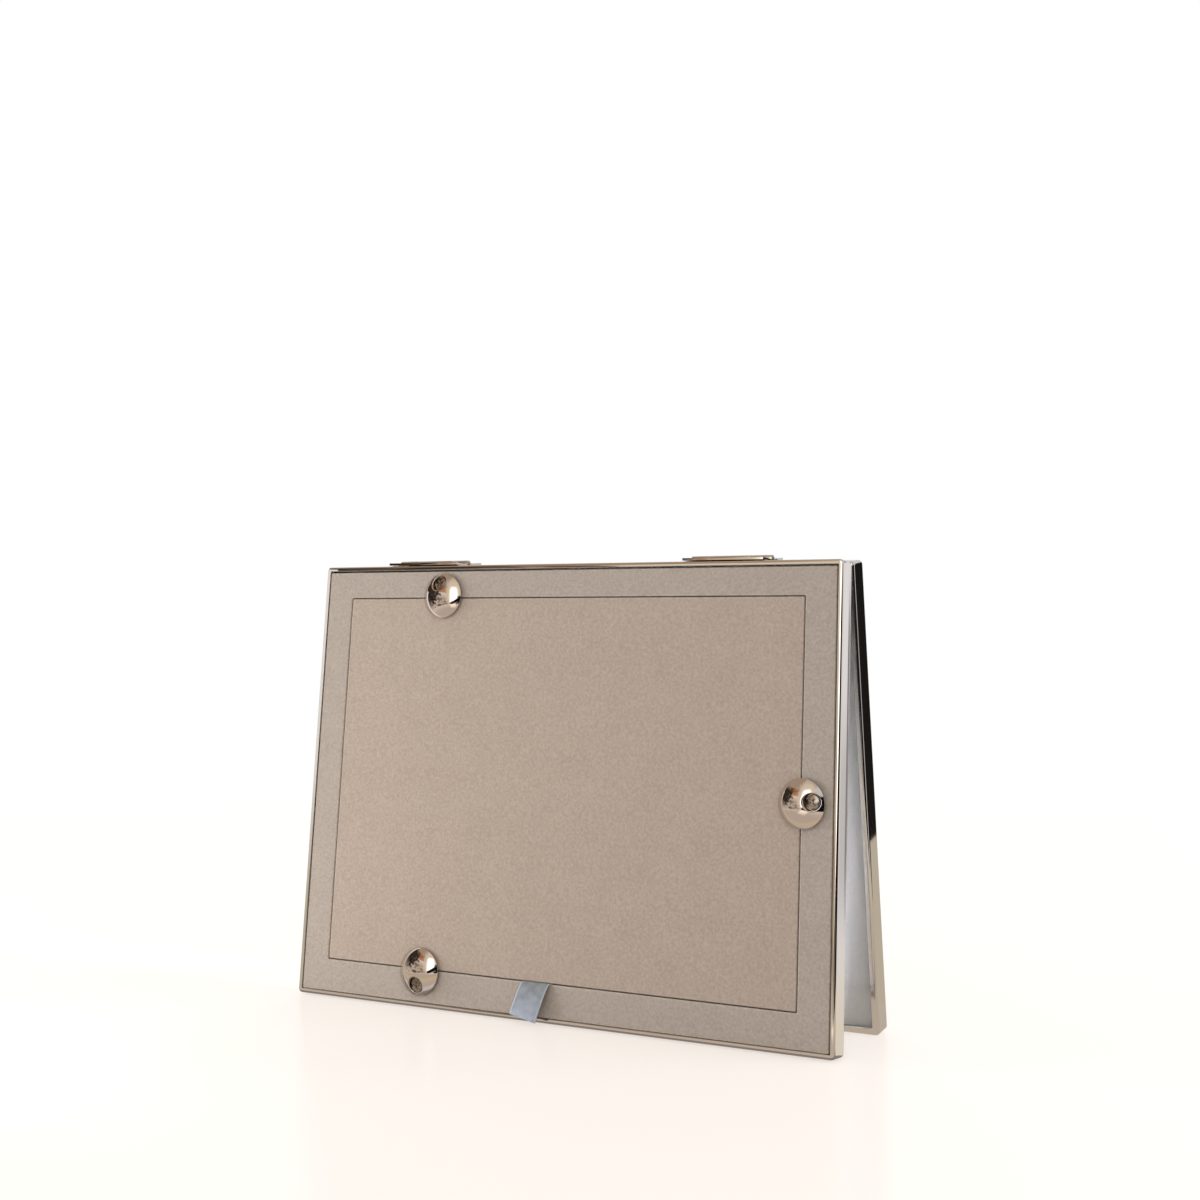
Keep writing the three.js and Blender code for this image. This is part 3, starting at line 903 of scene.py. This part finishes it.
stage = {
    "floorSize": 8,
    "litFloor": "#dcdbd9",  # what throws light up at the object
    "dimFloor": "#9d9b98",  # what the camera sees under the even fill
    "fill": "#fff6ef",
    "fillStrength": 0.73,
    "gloss": 0.09,
    "ripple": {"sizeMm": 0.4, "heightMm": 0.05, "strength": 0.35},
    "fadeToWhite": (0.25, 0.75),  # metres from the middle
    "tentRadius": 0.3,
    "tentWall": 0.45,
    "tentTop": 0.8,
    "nearFloor": "#cdbfb3",  # painted reflection: what the domes' lower halves show
    "edgeFloor": "#e8decf",
    "edgeReach": (0.16, 0.3),  # metres from the middle
    "backFloor": "#cfc7ba",
    "backReach": (-0.01, 0.06),  # metres of Y
    # Painted reflections along the foot, seen only in the metal, the last and darkest one a painted
    #     # shadow under the foot: stripes as Y from and to, soft edge in mm, and colour.
    "footStripes": [(-58, -40, 16, "#dccbaa"), (-32, -27.6, 2, "#dcd5d6"), (-27.6, -14, 0.6, "#968d86")],
    "backWall": "#dfe2ea",
    "ceiling": "#cdc0ae",
    "ceilingFrom": (420, 160),  # mm up, and its soft edge
    # Soft uneven shapes on the wall, each painted over those before it: degrees from and to (front is
    # 0, right positive), heights in mm from and to, soft edge in degrees and in mm, colour.
    "shapes": [
        (-140, 52, -90, 1200, 14, 40, "#d2c5b8"),
        (-140, -20, 380, 1200, 40, 260, "#b3a18d"),
        (-125, -100, 60, 420, 10, 60, "#efe9e2"),
        (-106, -62, 60, 380, 22, 130, "#5d4f4b"),
        (-96, -58, 120, 300, 16, 70, "#2a2020"),
        (-62, -4, 245, 430, 20, 120, "#a58465"),
        (-38, -8, 238, 350, 26, 90, "#c88e64"),
        (-60, -40, 300, 420, 22, 90, "#6d3b24"),
        (-86, -38, 178, 330, 14, 60, "#39352e"),
        (-40, -28, 176, 222, 14, 30, "#45302a"),
        (-26, 4, 184, 236, 10, 22, "#efe6dc"),
        (-60, -8, 108, 140, 26, 30, "#8c7568"),
        (-62, -42, 50, 190, 14, 50, "#2b231f"),
        (-50, -24, 4, 34, 14, 24, "#54402f"),
        (-18, 4, 20, 84, 14, 34, "#7a5541"),
        (-120, -76, 34, 58, 24, 20, "#7f8076"),
    ],
    "wobble": {"by": 34, "roundMm": 60, "upMm": 45},
    # Straight-edged cards on the wall, given the same way.
    "cards": [
        (-6, 60, 20, 700, 24, 260, "#efe2cd"),
        (35, 88, -90, 180, 6, 30, "#12131c"),
    ],
    # The bright panel on the wall, which fades upwards, and the dark bar that climbs across its foot
    # and widens to the right.
    "panel": {
        "degrees": (12, 40), "heights": (38, 380), "softTurn": 18, "softFoot": 40, "softTop": 230,
        "strength": 3,
    },
    "bar": {
        "degrees": (11, 52), "climb": 2.4, "foot": -10, "half": 27, "widen": 0.5, "softTurn": 4,
        "softRise": 0.5, "colour": "#101214",
    },
    # The panel's painted reflection on the floor, seen only in the metal: degrees, distances in
    #     # metres, and its share of the strength.
    "streak": {
        "degrees": (8, 34), "distances": (0.17, 0.6), "softTurn": 9, "softReach": 0.05, "share": 0.6,
    },
}
wayUp, wayDown = 2000, -1000  # mm, past everything that is painted


def band(tree, value, low, high, soft):
    # 1 between low and high, falling smoothly to 0 over soft at both ends.
    shares = [
        addNode(tree, "MapRange", {
            "interpolation_type": "SMOOTHSTEP", "From Min": edge - soft / 2, "From Max": edge + soft / 2,
            "To Min": start, "To Max": 1 - start,
        }, {"Value": value})
        for edge, start in ((low, 0.0), (high, 1.0))
    ]
    return addNode(tree, "Math", {"operation": "MULTIPLY"}, {0: shares[0], 1: shares[1]})


def inBoth(tree, first, second):
    # 1 where two bands meet, each given as its value, low, high and soft.
    return addNode(tree, "Math", {"operation": "MULTIPLY"}, {
        0: band(tree, *first), 1: band(tree, *second),
    })


def inMm(tree):
    # Separate X, Y and Z of the object's own coordinates, in mm.
    spot = addNode(tree, "TexCoord")
    scaled = addNode(tree, "VectorMath", {"operation": "SCALE", "Scale": 1 / mm}, {
        0: spot.outputs["Object"],
    })
    return addNode(tree, "SeparateXYZ", links={"Vector": scaled}).outputs


def degreesRound(tree, parts):
    # Round from the front, positive to the right.
    front = addNode(tree, "Math", {"operation": "MULTIPLY", 1: -1}, {0: parts["Y"]})
    angle = addNode(tree, "Math", {"operation": "ARCTAN2"}, {0: parts["X"], 1: front})
    return addNode(tree, "Math", {"operation": "DEGREES"}, {0: angle})


def unsteady(tree, value, wobble, sizeMm):
    # The value pushed up and down by soft noise, so that what is painted by it has uneven outlines.
    shake = addNode(tree, "Math", {"operation": "MULTIPLY_ADD", 1: wobble, 2: -wobble / 2}, {
        0: grain(tree, sizeMm, detail=3),
    })
    return addNode(tree, "Math", {"operation": "ADD"}, {0: value, 1: shake})


def painted(tree, colour, layers, along, height):
    # Each layer's colour laid over the ones before it, inside its own stretch of both values.
    for low, high, foot, top, softAlong, softRise, paint in layers:
        colour = addNode(tree, "Mix", {"data_type": "RGBA", "B": linear(paint)}, {
            "Factor": inBoth(tree, (along, low, high, softAlong), (height, foot, top, softRise)),
            "A": colour,
        })
    return colour


def closeGlow(material, tree, colour, strength, hiddenShare):
    # Light of that colour, or nothing at all where hiddenShare is 1.
    glow = addNode(tree, "Emission", links={"Color": colour, "Strength": strength})
    clear = addNode(tree, "BsdfTransparent")
    both = addNode(tree, "MixShader", links={"Fac": hiddenShare, 1: glow, 2: clear})
    addNode(tree, "OutputMaterial", links={"Surface": both})
    material.cycles.emission_sampling = "NONE"


def floorForCamera(tree, look, away):
    # White with a soft shadow and a faint, slightly blurred mirror image, whose blur is a bump too
    # fine to see so that the mirror itself stays sharp. Further off it fades to plain white.
    ripple = look["ripple"]
    dim = addNode(tree, "BsdfDiffuse", {"Color": linear(look["dimFloor"])})
    fill = addNode(tree, "Emission", {"Color": linear(look["fill"]), "Strength": look["fillStrength"]})
    near = addNode(tree, "AddShader", links={0: dim, 1: fill})
    micro = addNode(tree, "Bump", {
        "Strength": ripple["strength"], "Distance": ripple["heightMm"] * mm,
    }, {"Height": grain(tree, ripple["sizeMm"], detail=1)})
    mirror = addNode(tree, "BsdfGlossy", {"Color": (1, 1, 1, 1), "Roughness": 0.0}, {"Normal": micro})
    polished = addNode(tree, "MixShader", {"Fac": look["gloss"]}, {1: near, 2: mirror})
    white = addNode(tree, "Emission", {"Color": linear("#ffffff"), "Strength": 1})
    distance = addNode(tree, "MapRange", {
        "interpolation_type": "SMOOTHSTEP",
        "From Min": look["fadeToWhite"][0], "From Max": look["fadeToWhite"][1],
    }, {"Value": away})
    return addNode(tree, "MixShader", links={"Fac": distance, 1: polished, 2: white})


def floorForMetal(tree, look, away):
    # The floor as the metal mirrors it, painted as reflections: tan in front, paler further off,
    #     # greyer behind, striped along the foot with a painted shadow under it, and the panel's streak.
    parts = inMm(tree)
    farther = addNode(tree, "MapRange", {
        "interpolation_type": "SMOOTHSTEP",
        "From Min": look["edgeReach"][0], "From Max": look["edgeReach"][1],
    }, {"Value": away})
    tint = addNode(tree, "Mix", {
        "data_type": "RGBA", "A": linear(look["nearFloor"]), "B": linear(look["edgeFloor"]),
    }, {"Factor": farther})
    behind = addNode(tree, "MapRange", {
        "From Min": look["backReach"][0] / mm, "From Max": look["backReach"][1] / mm,
    }, {"Value": parts["Y"]})
    tint = addNode(tree, "Mix", {"data_type": "RGBA", "B": linear(look["backFloor"])}, {
        "Factor": behind, "A": tint,
    })
    for low, high, edge, paint in look["footStripes"]:
        tint = addNode(tree, "Mix", {"data_type": "RGBA", "B": linear(paint)}, {
            "Factor": band(tree, parts["Y"], low, high, edge), "A": tint,
        })
    streak = look["streak"]
    inStreak = inBoth(
        tree, (degreesRound(tree, parts), *streak["degrees"], streak["softTurn"]),
        (away, *streak["distances"], streak["softReach"]),
    )
    strength = addNode(tree, "MapRange", {
        "To Min": 1, "To Max": look["panel"]["strength"] * streak["share"],
    }, {"Value": inStreak})
    return addNode(tree, "Emission", links={"Color": tint, "Strength": strength})


def addFloor(look):
    # Polished white laminate, with one look for the camera, one for the object's mirrors and a plain
    # matt one for the light that it throws.
    half = look["floorSize"] / 2
    corners = [(-half, -half, 0), (half, -half, 0), (half, half, 0), (-half, half, 0)]
    material, tree = newMaterial("paleFloor")
    path = addNode(tree, "LightPath")
    spot = addNode(tree, "TexCoord")
    away = addNode(tree, "VectorMath", {"operation": "LENGTH"}, {0: spot.outputs["Object"]})
    soft = addNode(tree, "BsdfDiffuse", {"Color": linear(look["litFloor"])})
    whole = addNode(tree, "MixShader", links={
        "Fac": path.outputs["Is Camera Ray"], 1: soft, 2: floorForCamera(tree, look, away),
    })
    whole = addNode(tree, "MixShader", links={
        "Fac": path.outputs["Is Glossy Ray"], 1: whole, 2: floorForMetal(tree, look, away),
    })
    addNode(tree, "OutputMaterial", links={"Surface": whole})
    material.cycles.emission_sampling = "NONE"
    return addMesh("floor", corners, [(0, 1, 2, 3)], [material])


def panelAndBar(tree, look, colour, degrees, height):
    # The wall's colour with the bright panel and the dark bar over it, and how strongly it shines.
    panel, bar = look["panel"], look["bar"]
    onPanel = inBoth(
        tree, (degrees, *panel["degrees"], panel["softTurn"]),
        (height, panel["heights"][0], wayUp, panel["softFoot"]),
    )
    onPanel = addNode(tree, "Math", {"operation": "MULTIPLY"}, {
        0: onPanel, 1: band(tree, height, wayDown, panel["heights"][1], panel["softTop"]),
    })
    colour = addNode(tree, "Mix", {"data_type": "RGBA", "B": linear("#ffffff")}, {
        "Factor": onPanel, "A": colour,
    })
    slant = addNode(tree, "Math", {"operation": "MULTIPLY_ADD", 1: -bar["climb"], 2: -bar["foot"]}, {
        0: degrees,
    })
    fromBar = addNode(tree, "Math", {"operation": "ADD"}, {0: height, 1: slant})
    halfBar = addNode(tree, "Math", {
        "operation": "MULTIPLY_ADD", 1: bar["widen"], 2: bar["half"] - bar["widen"] * bar["degrees"][0],
    }, {0: degrees})
    fromBar = addNode(tree, "Math", {"operation": "DIVIDE"}, {0: fromBar, 1: halfBar})
    onBar = inBoth(
        tree, (degrees, *bar["degrees"], bar["softTurn"]), (fromBar, -1, 1, bar["softRise"]),
    )
    colour = addNode(tree, "Mix", {"data_type": "RGBA", "B": linear(bar["colour"])}, {
        "Factor": onBar, "A": colour,
    })
    bare = addNode(tree, "Math", {"operation": "SUBTRACT", 0: 1}, {1: onBar})
    bright = addNode(tree, "Math", {"operation": "MULTIPLY"}, {0: onPanel, 1: bare})
    strength = addNode(tree, "MapRange", {"To Min": 1, "To Max": panel["strength"]}, {"Value": bright})
    return colour, strength


def addTent(look):
    # A round wall that curves over into a ceiling, painted by degrees round and by height. It is
    # clear from outside, and to the floor's sharp mirror. The lower half of its rows climbs the wall,
    # and the others follow a quarter ellipse to the top.
    columns, rows = 96, 40
    turn = np.radians(np.linspace(0, 360, columns, endpoint=False))
    rise = np.linspace(0, 1, rows)
    bend = np.clip((rise - 0.5) / 0.48, 0, 1) * math.pi / 2
    radius = look["tentRadius"] * np.cos(bend).clip(0.02)
    height = look["tentWall"] * np.clip(rise / 0.5, 0, 1)
    height = height + (look["tentTop"] - look["tentWall"]) * np.sin(bend)
    points = np.stack([
        radius[:, None] * np.sin(turn), -radius[:, None] * np.cos(turn),
        np.broadcast_to(height[:, None], (rows, columns)),
    ], -1)
    material, tree = newMaterial("reflectorTent")
    parts = inMm(tree)
    degrees, up = degreesRound(tree, parts), parts["Z"]
    colour = addNode(tree, "Mix", {
        "data_type": "RGBA", "A": linear(look["backWall"]), "B": linear(look["ceiling"]),
    }, {"Factor": band(tree, up, look["ceilingFrom"][0], wayUp, look["ceilingFrom"][1])})
    wobble = look["wobble"]
    colour = painted(
        tree, colour, look["shapes"], unsteady(tree, degrees, wobble["by"], wobble["roundMm"]),
        unsteady(tree, up, wobble["by"], wobble["upMm"]),
    )
    colour = painted(tree, colour, look["cards"], degrees, up)
    colour, strength = panelAndBar(tree, look, colour, degrees, up)
    path = addNode(tree, "LightPath")
    side = addNode(tree, "NewGeometry")
    hidden = addNode(tree, "Math", {"operation": "MAXIMUM"}, {
        0: path.outputs["Is Singular Ray"], 1: side.outputs["Backfacing"],
    })
    closeGlow(material, tree, colour, strength, hidden)
    faces = gridFaces(rows, columns, False, True)[:, ::-1]
    return addMesh("reflectorTent", points.reshape(-1, 3), faces, [material])


# Small glowing cards that only the metal mirrors, standing close to the ends, each painting the
# reflections on one metal face: a colour, and stripes over it, given as X and height from and to in
# mm, soft edges in mm, and colour. Two stand behind the right end for the far leaf. One lies in the
# plane of the near leaf's photo face beyond its right end, and shows the far leaf another colour above
# a height, with a soft edge, and nothing below it. The last stands at the near leaf's left end.
endCards = {
    "dark": {
        "corners": [(112, 60, 67), (150, 60, 29), (290, 60, 29), (290, 60, 175), (112, 60, 175)],
        "colour": "#1f1c1b", "stripes": [],
    },
    "pale": {
        "corners": [(112, 60, -1), (290, 60, -1), (290, 60, 29), (150, 60, 29), (112, 60, 67)],
        "colour": "#cdc4b4", "stripes": [],
    },
    "rightRim": {
        "inLeaf": [(104.4, -78.5, 0), (150, -78.5, 0), (150, 78.5, 0), (104.4, 78.5, 0)],
        "colour": "#f6eee0",
        "stripes": [
            (104, 107.6, -50, 200, 0.5, 1, "#faf9ff"),
            (104, 107.6, 42, 100, 0.5, 40, "#d6d4d9"),
            (104, 107.6, -50, 26, 0.5, 40, "#f4ebde"),
            (104.75, 105.3, 50, 140, 0.25, 30, "#8f8d8e"),
        ],
        "behind": ("#19191c", 108, 30),
    },
    "leftRim": {
        "inLeaf": [(-106, -78, 7.9), (-106, 78, 7.9), (-106, 78, 17), (-106, -78, 17)],
        "colour": "#cfcbbb", "stripes": [(-120, -90, 60, 260, 1, 70, "#ffffff")],
    },
}


def addCard(name, card):
    material, tree = newMaterial(name)
    parts = inMm(tree)
    colour = addNode(tree, "RGB")
    colour.outputs["Color"].default_value = linear(card["colour"])
    colour = painted(tree, colour, card["stripes"], parts["X"], parts["Z"])
    plain = addNode(tree, "Value")
    plain.outputs["Value"].default_value = 1
    hidden = addNode(tree, "LightPath").outputs["Is Singular Ray"]
    if "behind" in card:
        paint, foot, edge = card["behind"]
        behind = addNode(tree, "NewGeometry").outputs["Backfacing"]
        colour = addNode(tree, "Mix", {"data_type": "RGBA", "B": linear(paint)}, {
            "Factor": behind, "A": colour,
        })
        below = addNode(tree, "Math", {"operation": "MULTIPLY"}, {
            0: behind, 1: band(tree, parts["Z"], wayDown, foot, edge),
        })
        hidden = addNode(tree, "Math", {"operation": "MAXIMUM"}, {0: hidden, 1: below})
    closeGlow(material, tree, colour, plain, hidden)
    corners = place("front", card["inLeaf"]) if "inLeaf" in card else np.array(card["corners"]) * mm
    return addMesh(name, corners, [tuple(range(len(corners)))], [material])


floor = addFloor(stage)
reflectors = [addTent(stage)] + [addCard(f"{name}EndCard", card) for name, card in endCards.items()]
for piece in reflectors:
    piece.visible_camera = piece.visible_diffuse = piece.visible_shadow = False
    piece.visible_transmission = piece.visible_volume_scatter = False

# The world is white where it is seen, mirrored or seen through glass, and dimmer as a light.
worldLight = 0.55
world = bpy.data.worlds.new("studio")
bpy.context.scene.world = world
world.use_nodes = True
worldTree = world.node_tree
worldTree.nodes.clear()
path = addNode(worldTree, "LightPath").outputs
seen = addNode(worldTree, "Math", {"operation": "MAXIMUM"}, {
    0: path["Is Camera Ray"], 1: path["Is Glossy Ray"],
})
seen = addNode(worldTree, "Math", {"operation": "MAXIMUM"}, {0: seen, 1: path["Is Transmission Ray"]})
strength = addNode(worldTree, "MapRange", {"To Min": worldLight, "To Max": 1.0}, {"Value": seen})
sky = addNode(worldTree, "Background", {"Color": linear("#ffffff")}, {"Strength": strength})
addNode(worldTree, "OutputWorld", links={"Surface": sky})


# Soft round lamps, by degrees round and up from the object's middle, with distance and size in
# metres, and two small ones close by that stand in for reflector cards: place, aim and sides in mm,
# and spread in degrees. No mirror and no camera sees them.
lamps = {
    "keyLamp": dict(azimuth=-66, elevation=6, distance=0.75, size=0.5, watts=3.3, tint="#fbfdff"),
    "fillLamp": dict(azimuth=20, elevation=45, distance=1.5, size=1.2, watts=4, tint="#fff7ea"),
    "sideLamp": dict(azimuth=112, elevation=8, distance=1.2, size=0.8, watts=14, tint="#fbf9ff"),
    "backLamp": dict(azimuth=-160, elevation=40, distance=1.4, size=1.2, watts=6, tint="#ffffff"),
    "leftCard": dict(
        at=(-150, -170, 20), aim=(-80, -20, 20), sizeMm=(120, 60), spread=180, watts=0.065,
        tint="#ffffff",
    ),
    "slitCard": dict(
        at=(152, -5, 84), aim=(100, 3, 84), sizeMm=(12, 100), spread=70, watts=0.18, tint="#f3f2ff",
    ),
}
target = (np.array(cadLow) + np.array(cadHigh)) / 2
for name, lamp in lamps.items():
    light = bpy.data.lights.new(name, "AREA")
    light.energy, light.color = lamp["watts"], linear(lamp["tint"])[:3]
    if "at" in lamp:
        light.shape, light.spread = "RECTANGLE", math.radians(lamp["spread"])
        light.size, light.size_y = (side * mm for side in lamp["sizeMm"])
        position = np.array(lamp["at"]) * mm
        direction = position - np.array(lamp["aim"]) * mm
        direction = direction / np.linalg.norm(direction)
    else:
        light.shape, light.size = "DISK", lamp["size"]
        a, e = math.radians(lamp["azimuth"]), math.radians(lamp["elevation"])
        direction = np.array([math.sin(a) * math.cos(e), -math.cos(a) * math.cos(e), math.sin(e)])
        position = target + direction * lamp["distance"]
    across = np.cross([0, 0, 1], direction)
    across = across / np.linalg.norm(across)
    holder = addObject(name, light, [across, np.cross(direction, across), direction], position)
    holder.visible_glossy = holder.visible_camera = False

bpy.context.scene.view_settings.view_transform = "Standard"


# Camera at the photograph's viewing angle

camera = {
    "position": (314.70, -547.40, 140.96),
    "yaw": -0.50852,
    "pitch": 0.09749,
    "roll": -0.00441,
    "lens": 53.139,
    "shiftUp": -0.14167,
}
yaw, pitch, roll = camera["yaw"], camera["pitch"], camera["roll"]
forward = np.array([math.sin(yaw) * math.cos(pitch), math.cos(yaw) * math.cos(pitch), math.sin(pitch)])
level = np.array([math.cos(yaw), -math.sin(yaw), 0])
upward = np.cross(level, forward)
right = level * math.cos(roll) + upward * math.sin(roll)
up = upward * math.cos(roll) - level * math.sin(roll)
lensData = bpy.data.cameras.new("camera")
lensData.lens, lensData.sensor_width, lensData.shift_y = camera["lens"], 36, camera["shiftUp"]
lensData.clip_start, lensData.clip_end = 0.01, 20
position = np.array(camera["position"]) * mm
bpy.context.scene.camera = addObject("camera", lensData, [right, up, -forward], position)

print("stage, lamps and camera set")
